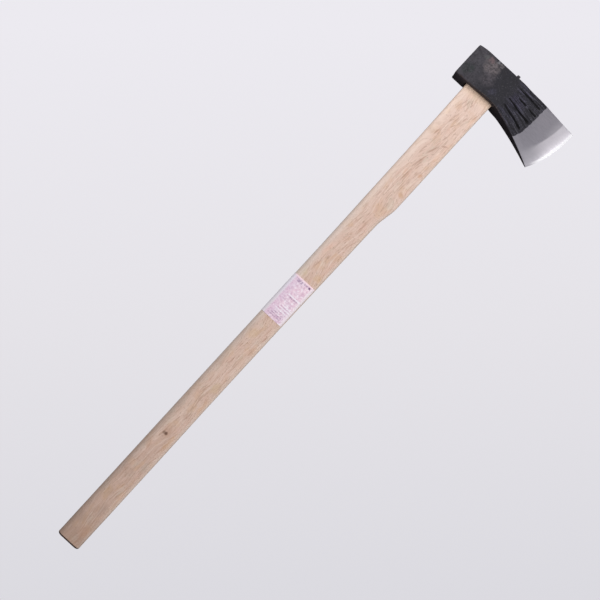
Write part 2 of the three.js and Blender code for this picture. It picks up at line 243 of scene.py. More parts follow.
def rounded_rectangle(a0, a1, b0, b1, radii, corner_steps, a_steps, b_steps):
    """Points round a rectangle with rounded corners, anticlockwise from its corner (a1, b1).
    Every call with the same steps gives as many points, so that rings can be lofted."""
    corners = [(a1, b1, 1, 1), (a0, b1, -1, 1), (a0, b0, -1, -1), (a1, b0, 1, -1)]
    arcs = []
    for quarter, (a, b, sign_a, sign_b) in enumerate(corners):
        angles = (quarter + np.linspace(0, 1, corner_steps + 1)) * math.pi / 2
        radius = radii[quarter]
        centre = np.array([a - sign_a * radius, b - sign_b * radius])
        arcs.append(centre + radius * np.stack([np.cos(angles), np.sin(angles)], -1))
    points = []
    for arc, following, steps in zip(arcs, arcs[1:] + arcs[:1], (a_steps, b_steps) * 2):
        points += [arc, lerp(arc[-1], following[0], np.linspace(0, 1, steps + 1)[1:-1, None])]
    return np.concatenate(points)


def rounded_arris(radius, count):
    """How far in each ring of a rounded arris lies, and how far it is inset."""
    angles = np.linspace(0, math.pi / 2, count)
    return [(radius * (1 - math.cos(angle)), radius * (1 - math.sin(angle))) for angle in angles]


def bar_ring(y, x0, x1, half, radius, steps):
    """A ring round a bar along Y: x0..x1 by -half..half, with rounded corners."""
    outline = rounded_rectangle(x0, x1, -half, half, [radius] * 4, *steps)
    return np.stack([outline[:, 0], np.full(len(outline), y), outline[:, 1]], -1)


def taper_rings(stations, steps=(3, 10, 10)):
    """Rings of a tapered bar: each station is (y, x0, x1, z half, corner radius)."""
    return np.array([bar_ring(*station, steps) for station in stations])


def shrunk(ring, levels):
    """Copies of a ring, each (scale, rise), that close a bar's top above it."""
    centre = ring.mean(0)
    return [centre + (ring - centre) * [scale, 1, scale] + [0, rise, 0] for scale, rise in levels]


def loft(rings):
    """Points and faces of a closed body through rings of as many points each."""
    rings = np.asarray(rings, float)
    count = rings.shape[1]
    around = np.arange(count)
    after = (around + 1) % count
    faces = []
    for first in range(0, (len(rings) - 1) * count, count):
        a, b = first + around, first + after
        faces += np.stack([a, b, b + count, a + count], -1).tolist()
    faces.append(around[::-1].tolist())
    faces.append(((len(rings) - 1) * count + around).tolist())
    return rings.reshape(-1, 3), faces


def new_object(name, data):
    made = bpy.data.objects.new(name, data)
    bpy.context.scene.collection.objects.link(made)
    return made


def mesh_object(name, points, faces):
    """An object of points in the axe's millimetres, with its faces turned outwards."""
    mesh = bpy.data.meshes.new(name)
    mesh.from_pydata(to_frame(points).tolist(), [], faces)
    edit = bmesh.new()
    edit.from_mesh(mesh)
    bmesh.ops.recalc_face_normals(edit, faces=edit.faces)
    edit.to_mesh(mesh)
    edit.free()
    return new_object(name, mesh)


def combine(piece, other, operation):
    """Cuts piece by other, or keeps what they share, and deletes other."""
    modifier = piece.modifiers.new("combine", "BOOLEAN")
    modifier.operation = operation
    modifier.solver = "MANIFOLD"
    modifier.object = other
    bpy.context.view_layer.update()
    graph = bpy.context.evaluated_depsgraph_get()
    mesh = bpy.data.meshes.new_from_object(piece.evaluated_get(graph))
    piece.modifiers.clear()
    piece.data = mesh
    bpy.data.objects.remove(other)
    weld(mesh)


def weld(mesh):
    """Joins the points that a cut left all but touching, and takes out the slivers between them."""
    edit = bmesh.new()
    edit.from_mesh(mesh)
    bmesh.ops.remove_doubles(edit, verts=edit.verts, dist=WELD)
    bmesh.ops.dissolve_degenerate(edit, edges=edit.edges, dist=WELD)
    bmesh.ops.triangulate(edit, faces=edit.faces)
    faces_on = {}
    for face in edit.faces:
        faces_on.setdefault(frozenset(face.verts), []).append(face)
    folded = [face for twins in faces_on.values() if len(twins) > 1 for face in twins]
    bmesh.ops.delete(edit, geom=folded, context="FACES")
    edit.to_mesh(mesh)
    edit.free()


def finish_piece(piece, node, material):
    """Stores each point's place in the axe, shades the piece, and ties it to the model."""
    mesh = piece.data
    places = np.zeros(len(mesh.vertices) * 3)
    mesh.vertices.foreach_get("co", places)
    own = to_axe(places.reshape(-1, 3))
    along, height = head_fractions(own)
    upper, lower = chisel_depth(own, UPPER_LINES), chisel_depth(own, LOWER_LINES)
    carved = np.clip(np.where(own[:, 2] > 0, upper, lower), 0, 1)
    for name, values in {"own": own, "head": np.stack([along, height, carved], -1)}.items():
        mesh.attributes.new(name, "FLOAT_VECTOR", "POINT").data.foreach_set("vector", values.ravel())
    mesh.shade_smooth()
    mesh.set_sharp_from_angle(angle=SHARP_ANGLE)
    mesh.materials.clear()
    mesh.materials.append(material)
    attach(piece, "root")
    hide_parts(node)


# ------------ shader code


def linear(tone):
    """A colour as nodes take it. A tone of three values from 0 to 255 is what a screen shows."""
    if isinstance(tone, Field) or len(tone) == 4:
        return tone
    parts = [value / 255 for value in tone]
    parts = [part / 12.92 if part <= 0.04045 else ((part + 0.055) / 1.055) ** 2.4 for part in parts]
    return (*parts, 1.0)


def set_input(node, key, value):
    """Links a node's input to a field or sets it, and leaves it alone if the value is None."""
    if isinstance(value, Field):
        node.id_data.links.new(value.output, node.inputs[key])
    elif value is not None:
        node.inputs[key].default_value = value


def add_node(tree, kind, inputs, output=0, **settings):
    """Adds a node and gives one of its outputs."""
    node = tree.nodes.new(kind)
    for key, value in settings.items():
        setattr(node, key, value)
    for key, value in inputs.items():
        set_input(node, key, value)
    return Field(node.outputs[output])


class Field:
    """A number, a place or a colour that nodes work out at each point of a surface."""

    def __init__(self, output):
        self.output = output

    def add(self, kind, inputs, output=0, **settings):
        return add_node(self.output.id_data, kind, inputs, output, **settings)

    def math(self, operation, other=None):
        return self.add("ShaderNodeMath", {0: self, 1: other}, operation=operation)

    def __add__(self, other):
        return self.math("ADD", other)

    def __sub__(self, other):
        return self.math("SUBTRACT", other)

    def __mul__(self, other):
        return self.math("MULTIPLY", other)

    def __truediv__(self, other):
        return self.math("DIVIDE", other)

    def band(self, low, high, to_low=0.0, to_high=1.0):
        """Maps low..high to to_low..to_high, smoothly and with flat ends."""
        inputs = {"Value": self, "From Min": low, "From Max": high, "To Min": to_low, "To Max": to_high}
        return self.add("ShaderNodeMapRange", inputs, "Result", interpolation_type="SMOOTHSTEP")

    def within(self, low, high, soft):
        """1 between two limits, falling smoothly to 0 a little way past each."""
        return self.band(low - soft, low + soft) * self.band(high + soft, high - soft)

    def mix(self, a, b):
        """Colour a where this number is 0, and b where it is 1."""
        return self.add("ShaderNodeMix", {0: self, 6: linear(a), 7: linear(b)}, 2, data_type="RGBA")

    def under(self, layers):
        """This colour under others. Each layer is a number that says how much shows, and its tone."""
        colour = self
        for shows, tone in layers:
            colour = shows.mix(colour, tone)
        return colour

    def blend(self, a, b):
        """Number a where this number is 0, and b where it is 1."""
        return self.add("ShaderNodeMix", {0: self, 2: a, 3: b})

    def ramp(self, stops):
        """The colour between those of the stops, which are pairs of a number and a tone."""
        colour = self.add("ShaderNodeValToRGB", {0: self}, "Color")
        elements = colour.output.node.color_ramp.elements
        while len(elements) < len(stops):
            elements.new(0.5)
        for element, (position, tone) in zip(elements, stops):
            element.position = position
            element.color = linear(tone)
        return colour

    def split(self):
        node = self.add("ShaderNodeSeparateXYZ", {0: self}).output.node
        return [Field(output) for output in node.outputs]

    def vector_math(self, operation, other=None, output="Vector"):
        return self.add("ShaderNodeVectorMath", {0: self, 1: other}, output, operation=operation)

    def stretch(self, *scale):
        return self.vector_math("MULTIPLY", scale)

    def shift(self, offset):
        return self.vector_math("ADD", offset)

    def length(self):
        return self.vector_math("LENGTH", output="Value")

    def noise(self, scale, detail=3.0, roughness=0.5, distortion=0.0, output="Fac"):
        """Noise at this place. Its bumps are 1 / scale wide, and a tuple has a scale for each axis."""
        place = self
        if isinstance(scale, tuple):
            place, scale = self.stretch(*scale), 1.0
        numbers = {"Scale": scale, "Detail": detail, "Roughness": roughness, "Distortion": distortion}
        return self.add("ShaderNodeTexNoise", {"Vector": place, **numbers}, output)

    def wobble(self, scale, amount):
        """A noise vector, which makes outlines irregular when it is added to this place."""
        centred = self.noise(scale, output="Color").shift((-0.5, -0.5, -0.5))
        return centred.stretch(amount, amount, amount)

    def spot(self, centre, radii, wobble=None):
        """1 inside an ellipsoid round a point of the axe, falling smoothly to 0 at its surface."""
        place = self if wobble is None else self.shift(wobble)
        scaled = place.shift([-c for c in centre]).stretch(*[1 / r for r in radii])
        return scaled.length().band(1.0, 0.35)

    def stroke(self, start, end, width, wobble):
        """1 along a line between two places on the near face, falling to 0 at its sides and ends."""
        middle = [-(a + b) / 2 for a, b in zip(start, end)]
        across, lengthwise = end[0] - start[0], end[1] - start[1]
        offset = self.shift(wobble).shift((*middle, -NEAR_FACE_Z))
        turn = {"Vector": offset, "Angle": math.atan2(across, lengthwise)}
        turned = self.add("ShaderNodeVectorRotate", turn, rotation_type="Z_AXIS")
        scaled = turned.stretch(2 / width, 2 / math.hypot(across, lengthwise), 0.2)
        return scaled.length().band(1.0, 0.4)


class Material:
    """A material whose looks are worked out from what finish_piece stored at each point."""

    def __init__(self, name):
        self.made = bpy.data.materials.new(name)
        self.made.use_nodes = True
        self.tree = self.made.node_tree
        self.surface = self.tree.nodes["Principled BSDF"]

    def stored(self, name):
        """The place in the axe in mm, as "own". As "head", how far along the head it is from poll to
        edge, how high between its lower and upper face, and how deeply it is chiselled."""
        return add_node(self.tree, "ShaderNodeAttribute", {}, "Vector", attribute_name=name)

    def finish(self, colour, roughness, relief=None, depth_mm=0.0, strength=0.0, metallic=0.0, specular=0.5):
        inputs = {"Base Color": colour, "Roughness": roughness, "Metallic": metallic}
        inputs["Specular IOR Level"] = specular
        if relief is not None:
            bump = {"Height": relief, "Distance": depth_mm * MM, "Strength": strength}
            inputs["Normal"] = add_node(self.tree, "ShaderNodeBump", bump)
        for key, value in inputs.items():
            set_input(self.surface, key, value)
        return self.made


# ------------ head: shape

cheek_half_at = curve_through(CHEEK_PROFILE)


def underside_at(x):
    to_poll = 1 - smoothstep(x, *UNDERSIDE_POLL_X)
    to_heel = np.maximum(x - BEARD_START_X, 0) / (HEEL_X - BEARD_START_X)
    return UNDERSIDE_Y - UNDERSIDE_POLL_DROP * to_poll - BEARD_DROP * to_heel**BEARD_POWER


def crown_at(x):
    to_toe = smoothstep(x, *CROWN_TOE_X)
    to_poll = np.maximum(CROWN_POLL_START_X - x, 0) / (CROWN_POLL_START_X - POLL_X)
    return CROWN_Y - CROWN_TOE_DROP * to_toe - CROWN_POLL_DROP * to_poll**2


def length_at(height):
    """Length from the poll to the edge, at a height from 0 at the lower face to 1 at the upper."""
    return lerp(HEEL_X, TOE_X, height) + 4 * EDGE_BULGE * height * (1 - height) - POLL_X


def head_fractions(points):
    """How far along the head and how high in it each point is, as head_points takes them."""
    x, y = points[:, 0], points[:, 1]
    height = (y - underside_at(x)) / (crown_at(x) - underside_at(x))
    return (x - POLL_X) / length_at(height), height


def head_points(along, height, z):
    """The places in the head that are a fraction of the way from poll to edge, at a height."""
    x = POLL_X + along * length_at(height)
    y = lerp(underside_at(x), crown_at(x), height)
    return np.stack([x, y, np.broadcast_to(z, np.shape(x))], -1)


def head_ring(along, inset=0.0):
    """A ring round the head, inset from its outline."""
    x = POLL_X + along * length_at(0.5)
    bottom, top = head_points(along, np.array([0.0, 1.0]), 0)
    tall = float(np.linalg.norm(top - bottom))
    half = float(cheek_half_at(x)) - inset
    lower = lerp(POLL_ARRIS, BEARD_ARRIS, float(smoothstep(x, *ARRIS_X)))
    upper = lerp(CROWN_ARRIS, GROUND_ARRIS, float(smoothstep(x, *GROUND_X)))
    radii = [min(radius, half * 0.8) for radius in (upper, lower, lower, upper)]
    outline = rounded_rectangle(inset, tall - inset, -half, half, radii, *HEAD_STEPS)
    return head_points(along, outline[:, 0] / tall, outline[:, 1])


def chisel_depth(points, lines):
    """How deep the chiselled lines go at each point, less the burrs that they raised beside them."""
    depth = np.zeros(len(points))
    for (x0, y0), (x1, y1), deepest in lines:
        t = (points[:, 0] - x0) / (x1 - x0)
        wander = 0.25 * np.sin(9 * t + x0 + y0)
        across = np.abs(points[:, 1] - lerp(y0, y1, t) - wander)
        fade = (0.35 + 0.65 * smoothstep(t, 0, 0.55)) * smoothstep(t, 0, 0.08) * smoothstep(t, 1.0, 0.96)
        fade = fade * (0.85 + 0.15 * np.sin(23 * t + y1))
        half_width = LINE_HALF_WIDTH * (0.75 + 0.45 * np.clip(t, 0, 1))
        groove = np.maximum(1 - across / half_width, 0)
        burr = np.exp(-(((across - half_width - 0.35) / 0.4) ** 2))
        depth += deepest * fade * (groove - 0.1 * burr)
    return depth


def forge_head(points, normals):
    """Moves the surface as forging and grinding left it."""
    along, _ = head_fractions(points)
    black = smoothstep(along, 0.73, 0.695)
    forged, ground = bumps_at(points, FORGED_BUMPS), bumps_at(points, GROUND_BUMPS)
    edge = smoothstep(along, 0.995, 0.93)
    move = black * (forged - 0.08) + (1 - black) * (ground - 0.04) * edge
    points = points + normals * np.minimum(move, 0)[:, None]
    over_cheek = smoothstep(np.abs(normals[:, 2]), 0.6, 0.85)
    for side, lines in ((1, UPPER_LINES), (-1, LOWER_LINES)):
        mine = over_cheek * (side * normals[:, 2] > 0)
        points[:, 2] -= side * mine * chisel_depth(points, lines)
    return points


def grid_normals(rings):
    """Outward normals of a loft's points, from their neighbours in the grid."""
    around = np.roll(rings, -1, 1) - np.roll(rings, 1, 1)
    padded = np.concatenate([rings[:1], rings, rings[-1:]])
    onward = padded[2:] - padded[:-2]
    normals = np.cross(around, onward)
    normals /= np.maximum(np.linalg.norm(normals, axis=-1, keepdims=True), 1e-9)
    outward = rings - rings.mean(1, keepdims=True)
    return normals * np.sign((normals * outward).sum())


def head_blank():
    """The forged and ground head, before its eye is cut and its steel is parted from it."""
    length = length_at(0.5)
    over_face, over_arris, over_cheeks, over_edge = HEAD_RINGS
    rings = []
    for inset in np.linspace(POLL_INNER, POLL_ROUND, over_face):
        dome = POLL_CROWN * (inset / POLL_INNER) ** 0.6
        rings.append(head_ring((POLL_CROWN - dome) / length, inset))
    for x, inset in rounded_arris(POLL_ROUND, over_arris)[1:]:
        rings.append(head_ring((POLL_CROWN + x) / length, inset))
    start = (POLL_CROWN + POLL_ROUND) / length
    rings += [head_ring(along) for along in np.linspace(start, EDGE_START, over_cheeks)[1:]]
    rings += [head_ring(along) for along in np.linspace(EDGE_START, 1, over_edge)[1:]]
    rings = np.array(rings)
    normals = grid_normals(rings)
    return loft(forge_head(rings.reshape(-1, 3), normals.reshape(-1, 3)).reshape(rings.shape))


def steel_space(clearance):
    """The cutting steel's space in the head: a band at the edge, or the tongue behind it."""
    heights = np.linspace(-0.2, 1.2, 15)
    shift = clearance / length_at(0.5)
    band = [(STEEL_START - shift, CHEEK_HALF), (1.1, CHEEK_HALF)]
    tongue = [
        (TONGUE_START - shift, TONGUE_HALF[0] + clearance),
        (STEEL_START - shift, TONGUE_HALF[1] + clearance),
        (STEEL_START + 0.02, TONGUE_HALF[1]),
    ]
    bodies = []
    for name, half in (("band", band), ("tongue", tongue)):
        section = half + [(along, -z) for along, z in reversed(half)]
        alongs, zs = np.array(section).T
        rings = [head_points(alongs, np.full(len(alongs), height), zs) for height in heights]
        bodies.append(mesh_object(name, *loft(rings)))
    combine(bodies[0], bodies[1], "UNION")
    return bodies[0]


def eye_at(y):
    """Where the eye's back, its front and half its thickness lie at y."""
    return lerp(np.array(EYE_LOWER), np.array(EYE_UPPER), (y - UNDERSIDE_Y) / (CROWN_Y - UNDERSIDE_Y))


def eye_cutter():
    """The tapered eye, flared where its rims were filed."""
    grows = [10 * EYE_FLARE, 0, 0, 10 * EYE_FLARE]
    ys = [UNDERSIDE_Y - CUTTER_REACH, UNDERSIDE_Y + EYE_FLARE, CROWN_Y - EYE_FLARE, CROWN_Y + CUTTER_REACH]
    rings = []
    for part in np.linspace(0, 3, 13):
        y, grow = np.interp(part, range(4), ys), np.interp(part, range(4), grows)
        back, front, half = eye_at(y)
        rings.append(bar_ring(y, back - grow, front + grow, half + grow, EYE_CORNER + grow, (6, 12, 8)))
    return mesh_object("eye", *loft(rings))


# ------------ handle and wedges: shape

handle_curves = [curve_through([[row[0], row[k]] for row in HANDLE_PROFILE]) for k in range(1, 5)]


def handle_ring(y, inset=0.0):
    back, front, half, corner = (float(curve(y)) for curve in handle_curves)
    radius = max(corner - inset, 0.5)
    return bar_ring(y, back + inset, front - inset, half - inset, radius, HANDLE_STEPS)


def tenon_ring(y):
    back, front, half = eye_at(y)
    gap = TENON_GAP
    return bar_ring(y, back + gap, front - gap, half - gap, EYE_CORNER - gap, HANDLE_STEPS)


def handle_body():
    """The handle from its rounded butt to the top of its tenon, with the planing left on it."""
    over_arris, over_shaft, over_tenon = HANDLE_RINGS
    rings = []
    for inset in (11, 8, 5.5):
        rings.append(handle_ring(BUTT_DOME * (1 - (inset - BUTT_ROUND) / 11), inset))
    rings += [handle_ring(BUTT_DOME + y, inset) for y, inset in rounded_arris(BUTT_ROUND, over_arris)]
    start = BUTT_DOME + BUTT_ROUND
    rings += [handle_ring(y) for y in np.linspace(start, UNDERSIDE_Y + 0.5, over_shaft)[1:]]
    rings += [tenon_ring(y) for y in np.linspace(UNDERSIDE_Y + 2, TENON_TOP_Y - 0.6, over_tenon)]
    rings += shrunk(tenon_ring(TENON_TOP_Y), [(0.985, 0), (0.9, 0), (0.7, 0), (0.4, 0)])
    rings = np.array(rings)
    normals = grid_normals(rings)
    plane = 0.07 * noise_at(rings * [1, 0.12, 1], 9, 2.2) + 0.05 * noise_at(rings * [1, 0.3, 1], 4, 9.1)
    shaft = smoothstep(rings[:, 0, 1], 2, 12) * smoothstep(rings[:, 0, 1], UNDERSIDE_Y, UNDERSIDE_Y - 8)
    rings = rings + normals * ((plane - 0.1) * shaft[:, None])[..., None]
    chopped = smoothstep(rings[:, :, 1], TENON_TOP_Y - 0.4, TENON_TOP_Y - 0.1)
    rings[:, :, 1] += 0.35 * chopped * (noise_at(rings, 6, 4.4) - 0.6)
    return loft(rings)


def struck_bar(rings, levels, from_y, top, depth, size, seed):
    """A bar closed by levels at its top, where blows left bumps of a size, up to a depth."""
    rings = np.concatenate([rings, shrunk(rings[-1], levels)])
    struck = smoothstep(rings[:, :, 1], from_y, top)
    rings[:, :, 1] -= depth * struck * (0.5 + 0.5 * noise_at(rings, size, seed))
    return loft(rings)


def front_wedge_station(y, grow=0.0):
    """The front wedge, or with grow its space, lies against the front wall of the eye."""
    tip, _, half = FRONT_WEDGE
    thick = lerp(*WEDGE_THICK, min((y - tip) / (CROWN_Y - tip), 1))
    front = eye_at(min(y, CROWN_Y))[1] - WEDGE_OFF_WALL
    return (y, front - thick - grow, front + grow, half + grow, 0.35 + max(grow, 0))


def front_wedge_body():
    """A wedge whose proud top was spread by the hammer."""
    tip, top, _ = FRONT_WEDGE
    stations = [front_wedge_station(y) for y in np.linspace(tip, top - 4.5, 26)]
    stations += [front_wedge_station(top - below_top, spread) for below_top, spread in MUSHROOM]
    rings = taper_rings(stations, WEDGE_STEPS)
    rings = np.concatenate([rings, shrunk(rings[-1], [(0.8, 0.02), (0.45, 0.055)])])
    proud = smoothstep(rings[:, :, 1], CROWN_Y - 2, top)[..., None]
    rings += proud * 0.3 * np.stack([noise_at(rings, 3.5, seed) for seed in (1.5, 4.5, 8.5)], -1)
    rings[:, :, 1] = np.minimum(rings[:, :, 1], top)
    return loft(rings)


def cross_wedge_station(y, grow=0.0):
    tip, top, half = CROSS_WEDGE
    out = lerp(*WEDGE_THICK, (y - tip) / (top - tip)) / 2 + grow
    return (y, CROSS_WEDGE_X - out, CROSS_WEDGE_X + out, half + grow, 0.3 + grow)


def cross_wedge_body():
    tip, top, _ = CROSS_WEDGE
    rings = taper_rings([cross_wedge_station(y) for y in np.linspace(tip, top - 0.5, 22)], WEDGE_STEPS)
    levels = [(0.97, 0.25), (0.88, 0.45), (0.6, 0.5), (0.3, 0.5)]
    return struck_bar(rings, levels, top - 1, top, 0.3, 3, 6.6)


def kerf_station(y, x0=-60, x1=60, clearance=0.0):
    """The kerf, which runs out of the tenon at both ends, or the wooden wedge with its clearance."""
    t = (y - KERF_BOTTOM_Y) / (TENON_TOP_Y - KERF_BOTTOM_Y)
    return (y, x0, x1, lerp(*KERF_HALF, t) - clearance, 0.1)


def wooden_wedge_body():
    """The wooden wedge, cut off with the tenon and bruised by the mallet."""
    stations = []
    for y in np.linspace(KERF_BOTTOM_Y + 0.3, TENON_TOP_Y + 0.1, 30):
        back, front, _ = eye_at(y)
        by_front_wedge = front_wedge_station(max(y, FRONT_WEDGE[0]))[1] - 0.3
        stations.append(kerf_station(y, back + 0.4, min(front - 0.4, by_front_wedge), 0.1))
    rings = taper_rings(stations, WOODEN_WEDGE_STEPS)
    levels = [(0.97, 0.15), (0.85, 0.2), (0.5, 0.2)]
    return struck_bar(rings, levels, TENON_TOP_Y - 0.6, TENON_TOP_Y, 0.35, 3.5, 2.6)


# ------------ label: shape

LABEL_CORNERS = np.array([
    # the way it faces in degrees, 1 in the column for the handle's front or back or for the
    # label's far end, and 1 on the near or -1 on the far face
    [LABEL_NEAR_DEG, 1, 0, 0, 1],
    [90, 1, 0, 0, 1],
    [90, 0, 1, 0, 1],
    [180, 0, 1, 0, 1],
    [180, 0, 1, 0, -1],
    [270, 0, 1, 0, -1],
    [270, 0, 0, 1, -1],
])
LABEL_STEPS = [9, 21, 11, 7, 11, 15]  # from each corner to the next


def label_body():
    """A strip that follows the handle from the front corner of its near face round to its far face."""
    path = [LABEL_CORNERS[:1]]
    for start, end, steps in zip(LABEL_CORNERS, LABEL_CORNERS[1:], LABEL_STEPS):
        path.append(lerp(start, end, np.linspace(0, 1, steps + 1)[1:, None]))
    path = np.concatenate(path)
    facing, over, side = np.radians(path[:, 0]), path[:, 1:4], path[:, 4]
    count = len(path)
    corner = float(handle_curves[3](sum(LABEL_Y) / 2))

    def section(y, lift):
        back, front, half, _ = (float(curve(y)) for curve in handle_curves)
        x = over @ [front - corner, back + corner, LABEL_FAR_X]
        z = side * (half - corner)
        out = corner + lift
        return np.stack([x + out * np.cos(facing), np.full(count, y), z + out * np.sin(facing)], -1)

    rows = []
    for y in np.linspace(*LABEL_Y, 48):
        outer = section(y, LABEL_LIFT + LABEL_THICKNESS)
        inner = section(y, LABEL_LIFT)
        rows.append(np.concatenate([outer, inner[::-1]]))
    rows = np.array(rows)
    wrinkle = LABEL_WRINKLE * (noise_at(rows[:, :count] * [1, 0.5, 1], 6, 3.3) + 1)
    outward = rows[:, :count] - rows[:, count:][:, ::-1]
    outward /= np.linalg.norm(outward, axis=-1, keepdims=True)
    rows[:, :count] += outward * wrinkle[..., None]
    points, faces = loft(rows)
    # the strip's two cut ends are closed by a row of small faces, from its outer to its inner side
    i = np.arange(count - 1)
    cut_end = np.stack([i, i + 1, 2 * count - 2 - i, 2 * count - 1 - i], -1)
    other_end = cut_end + (len(rows) - 1) * 2 * count
    return points, faces[:-2] + cut_end[:, ::-1].tolist() + other_end.tolist()


# ------------ materials

# A tone is the red, green and blue, from 0 to 255, that a screen shows.

# Head
SCALE_DARK = (37, 36, 42)
SCALE_LIGHT = (68, 65, 71)
IRON_UPPER = (158, 154, 161)
IRON_LOWER = (148, 145, 152)
STEEL_HEEL = (163, 160, 166)
STEEL_TONES_AND_SHEEN = [
    # fraction of the way from poll to edge; the tones lighten towards the edge partly as painted reflection
    (0.885, (196, 191, 197)),
    (0.93, (202, 197, 203)),
    (0.955, (212, 207, 213)),
    (0.968, (220, 215, 221)),
    (0.98, (240, 236, 241)),
]
SCALE_PATCHES = [
    # centre, radii, amount, tone
    ((-14, 883, 24), (16, 14, 16), 0.9, (108, 100, 102)),
    ((-8, 868, 24), (14, 16, 16), 0.6, (88, 82, 88)),
    ((-20.5, 890, 24), (6, 5.5, 14), 0.6, (116, 94, 96)),
    ((-28, 888, 24), (4, 5, 14), 0.5, (92, 94, 92)),
    ((-37, 860, 24), (12, 12, 16), 0.75, (40, 48, 47)),
    # the next two, on the crown arris, are painted highlights
    ((-11.5, 894.2, 24), (4, 1.6, 8), 0.8, (128, 126, 130)),
    ((-4.6, 894, 24), (4.5, 2.6, 8), 0.6, (120, 114, 116)),
    ((9, 858, 24), (8, 8, 16), 0.6, (62, 60, 76)),
    ((44, 871, 20), (17, 15, 16), 0.6, (64, 60, 80)),
]

# Oak
NEAR_FACE_Z = 13.5
RING_WIDTH = 3.3
PITH = (-74, -46)  # x and z of the middle of the tree's rings
OAK_TONES = [
    # how far up from the butt to the crown; lighter towards the head partly as painted light falloff
    (0.0, (194, 165, 147)),
    (0.07, (211, 181, 164)),
    (0.16, (206, 176, 160)),
    (0.3, (221, 193, 177)),
    (0.6, (218, 189, 174)),
    (0.85, (223, 196, 182)),
    (0.92, (230, 203, 189)),
    (0.95, (242, 213, 197)),
]
BACK_PAINTED_SHADING = [
    # the same, along the back arris, as painted light and shade
    (0.0, (152, 136, 126)),
    (0.3, (186, 168, 156)),
    (0.56, (224, 214, 206)),
    (0.9, (240, 218, 204)),
]
OAK_CLOUDS = [
    # patches per mm across and along the grain, low and high limit, amount, tone
    (0.075, 0.045, 0.48, 0.66, 0.5, (214, 178, 146)),
    (0.09, 0.05, 0.52, 0.68, 0.5, (222, 186, 170)),
    (0.08, 0.04, 0.54, 0.7, 0.45, (206, 194, 176)),
]
OAK_PATCHES = [
    # x and y on the near face, how wide and how long, amount, tone
    (13.8, 706, 4, 4.5, 0.7, (196, 150, 118)),
    (13, 668, 7, 5, 0.7, (200, 160, 128)),
    (14.5, 740, 4, 14, 0.3, (236, 196, 172)),
    (-18.5, 799, 4, 8, 0.4, (240, 204, 166)),
    (16, 811, 3, 12, 0.3, (226, 182, 152)),
    (-12, 545, 6, 16, 0.3, (226, 172, 148)),
    (5, 297, 7, 12, 0.45, (204, 176, 140)),
    (11.5, 262, 5, 22, 0.4, (214, 168, 132)),
    (-15, 250, 5, 12, 0.4, (186, 168, 152)),
    (9, 196, 5, 22, 0.35, (210, 166, 128)),
    (-12, 178, 6, 10, 0.35, (196, 156, 128)),
    (6, 26, 9, 14, 0.4, (204, 158, 130)),
    (-10, 40, 8, 12, 0.35, (176, 150, 134)),
    (-8, 92, 7, 12, 0.35, (190, 158, 122)),
    (4, 66, 7, 14, 0.35, (176, 154, 142)),
    (10, 98, 5, 12, 0.35, (214, 172, 140)),
    (-6, 130, 9, 10, 0.35, (180, 152, 134)),
    (8, 150, 6, 12, 0.35, (186, 172, 156)),
    (-16, 330, 5, 18, 0.3, (186, 158, 138)),
    (8, 345, 6, 14, 0.3, (214, 178, 154)),
    (-8, 390, 8, 10, 0.3, (206, 176, 136)),
    (6, 505, 8, 8, 0.35, (212, 176, 132)),
    (-14, 500, 6, 8, 0.35, (206, 182, 140)),
]
OAK_STROKES = [
    # x and y of its start and of its end on the near face, width, amount
    (-4.4, 706, 2.6, 736, 3.8, 0.55),
    (-2.4, 732, 7.6, 758, 3.8, 0.62),
    (6.4, 756.4, 17.5, 762, 3.8, 0.6),
    (-2.8, 679, -1.6, 705, 3.0, 0.6),
    (-8.5, 786, -4, 800, 2.4, 0.45),
    (-11.8, 760, -9.4, 777, 2.6, 0.5),
    (-9.3, 733, -7.8, 746, 2.6, 0.45),
    (3.6, 762, 6.2, 775, 3.0, 0.55),
    (-1.4, 783, 3.6, 794, 2.6, 0.5),
    (5.6, 800, 9, 812, 2.6, 0.5),
    (-6.6, 796, -5.4, 805, 2.4, 0.45),
    (-14.8, 806, -11.4, 823, 2.4, 0.5),
    (-10.2, 820, -8.4, 831, 2.4, 0.5),
    (-7, 814, -4, 832, 2.6, 0.45),
    (1.2, 822, 2.2, 831, 2.4, 0.5),
    (14.5, 810, 17.6, 824, 2.6, 0.5),
    (-13, 640, -11.5, 658, 2.6, 0.5),
    (3, 590, 5, 612, 2.6, 0.45),
    (-9, 512, -7.5, 530, 2.6, 0.45),
    (8.5, 383, 10.5, 402, 2.6, 0.5),
    (-6, 330, -4, 352, 2.6, 0.4),
    (2, 232, 4, 250, 2.6, 0.4),
]
KNOT = (-4.0, 203.8, 13.8)
KNOT_HEARTS = [
    # centre, radii, amount
    ((-6.3, 203.8, 13.8), (3.2, 3.4, 5), 0.5),
    ((-3.0, 204.2, 13.8), (3.2, 3.6, 5), 0.8),
]

# Label
INK = (142, 104, 146)
PALE_BAR = (248, 242, 250)
LABEL_BARS = [
    # y from and to, x from and to, tone, amount, and how many dots per mm it breaks into, if any
    (488.7, 491.5, -24, 14, (252, 222, 228), 0.85, 0),
    (483.4, 487.6, -13.5, -4.5, INK, 0.6, 0.5),
    (485.6, 487.8, -2.5, 9, INK, 0.55, 0.8),
    (485.4, 488.2, 6.2, 9.0, (104, 62, 108), 0.85, 0),
    (461.6, 463.4, -9, 12, PALE_BAR, 0.85, 0),
    (459.0, 461.2, -6, 8, INK, 0.6, 0.9),
    (452.4, 453.6, -12, 4, INK, 0.25, 0.8),
]
for row, end in enumerate((9, 11, 8)):
    LABEL_BARS.append((444.8 - 4.0 * row, 446.2 - 4.0 * row, -6 - 2 * row, end, PALE_BAR, 0.75, 0))
    LABEL_BARS.append((442.8 - 4.0 * row, 444.0 - 4.0 * row, -7 - row, end + 1, INK, 0.35, 0.9))
for row in range(3):
    LABEL_BARS.append((425.0 + 3.0 * row, 426.8 + 3.0 * row, -15 + 3 * row, 7, INK, 0.5, 1.1))


